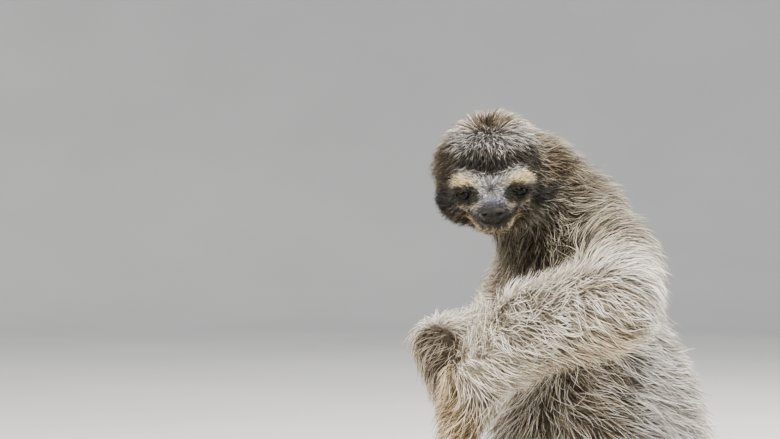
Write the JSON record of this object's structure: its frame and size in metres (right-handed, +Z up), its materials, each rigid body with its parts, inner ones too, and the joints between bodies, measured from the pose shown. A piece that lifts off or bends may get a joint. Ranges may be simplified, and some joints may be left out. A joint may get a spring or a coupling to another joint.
{
  "type": "three-toed sloth",
  "caption": "Life-size three-toed sloth sitting upright on its rump and feet, arms held out as if round a trunk, head turned to its left.",
  "frame": {"origin": "middle of the bounding box's base, on the level that the rump, the soles and the tail rest on", "axes": "+Z up. -Y is the way the face looks. The belly faces 62 degrees from that, towards -X."},
  "size_m": [0.3254, 0.2954, 0.4008],
  "materials": {
    "coat": "shaggy fur",
    "eye": "wet gloss",
    "nose": "soft satin",
    "claw": "satin horn"
  },
  "bodies": {
    "root": {"head": "coat", "neck": "coat", "trunk": "coat", "tail": "coat", "upper_arm_left": "coat", "forearm_left": "coat", "hand_left": "coat", "thigh_left": "coat", "shank_left": "coat", "foot_left": "coat", "ear_left": "coat", "upper_arm_right": "coat", "forearm_right": "coat", "hand_right": "coat", "thigh_right": "coat", "shank_right": "coat", "foot_right": "coat", "ear_right": "coat", "eye_left": "eye", "eye_right": "eye", "nose": "nose", "claw_hand_left_1": "claw", "claw_hand_left_2": "claw", "claw_hand_left_3": "claw", "claw_hand_right_1": "claw", "claw_hand_right_2": "claw", "claw_hand_right_3": "claw", "claw_foot_left_1": "claw", "claw_foot_left_2": "claw", "claw_foot_left_3": "claw", "claw_foot_right_1": "claw", "claw_foot_right_2": "claw", "claw_foot_right_3": "claw"}
  },
  "joints": []
}
